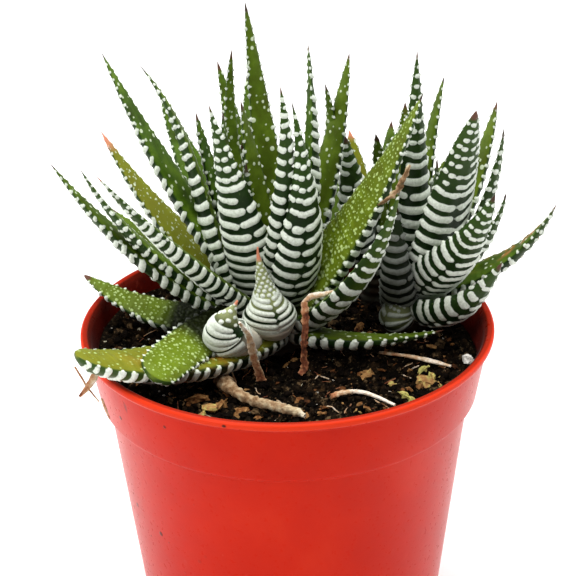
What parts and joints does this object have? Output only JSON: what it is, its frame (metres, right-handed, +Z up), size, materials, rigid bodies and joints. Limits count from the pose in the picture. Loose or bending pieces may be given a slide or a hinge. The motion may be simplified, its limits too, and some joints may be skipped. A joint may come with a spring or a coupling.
{
  "type": "potted haworthia",
  "caption": "Clump of striped haworthia rosettes with pointed, white-banded leaves growing in soil in a small round tapered plastic nursery pot.",
  "frame": {"origin": "centre of the underside of the pot, on the surface it stands on", "axes": "+Z up along the pot's axis, +X to the right and -Y to the front, the side with the two young offsets"},
  "size_m": [0.1264, 0.114, 0.1643],
  "materials": {
    "pot_plastic": "satin red-orange plastic, scuffed and dusty",
    "soil": "dark moist potting mix with bark, grit and perlite",
    "leaf": "succulent leaf, dark green with raised white bands outside and dots inside",
    "dry_leaf": "dead brown leaf",
    "root": "dry tan root",
    "straw": "dry pale straw"
  },
  "bodies": {
    "root": {"pot": "pot_plastic", "soil": "soil", "rosette_main": "leaf", "rosette_right": "leaf", "rosette_back": "leaf", "dried_leaf_front": "dry_leaf", "dried_leaf_left": "dry_leaf", "dry_leaf_tip": "dry_leaf", "dead_root": "root", "straw_long": "straw", "straw_short": "straw"}
  },
  "joints": []
}
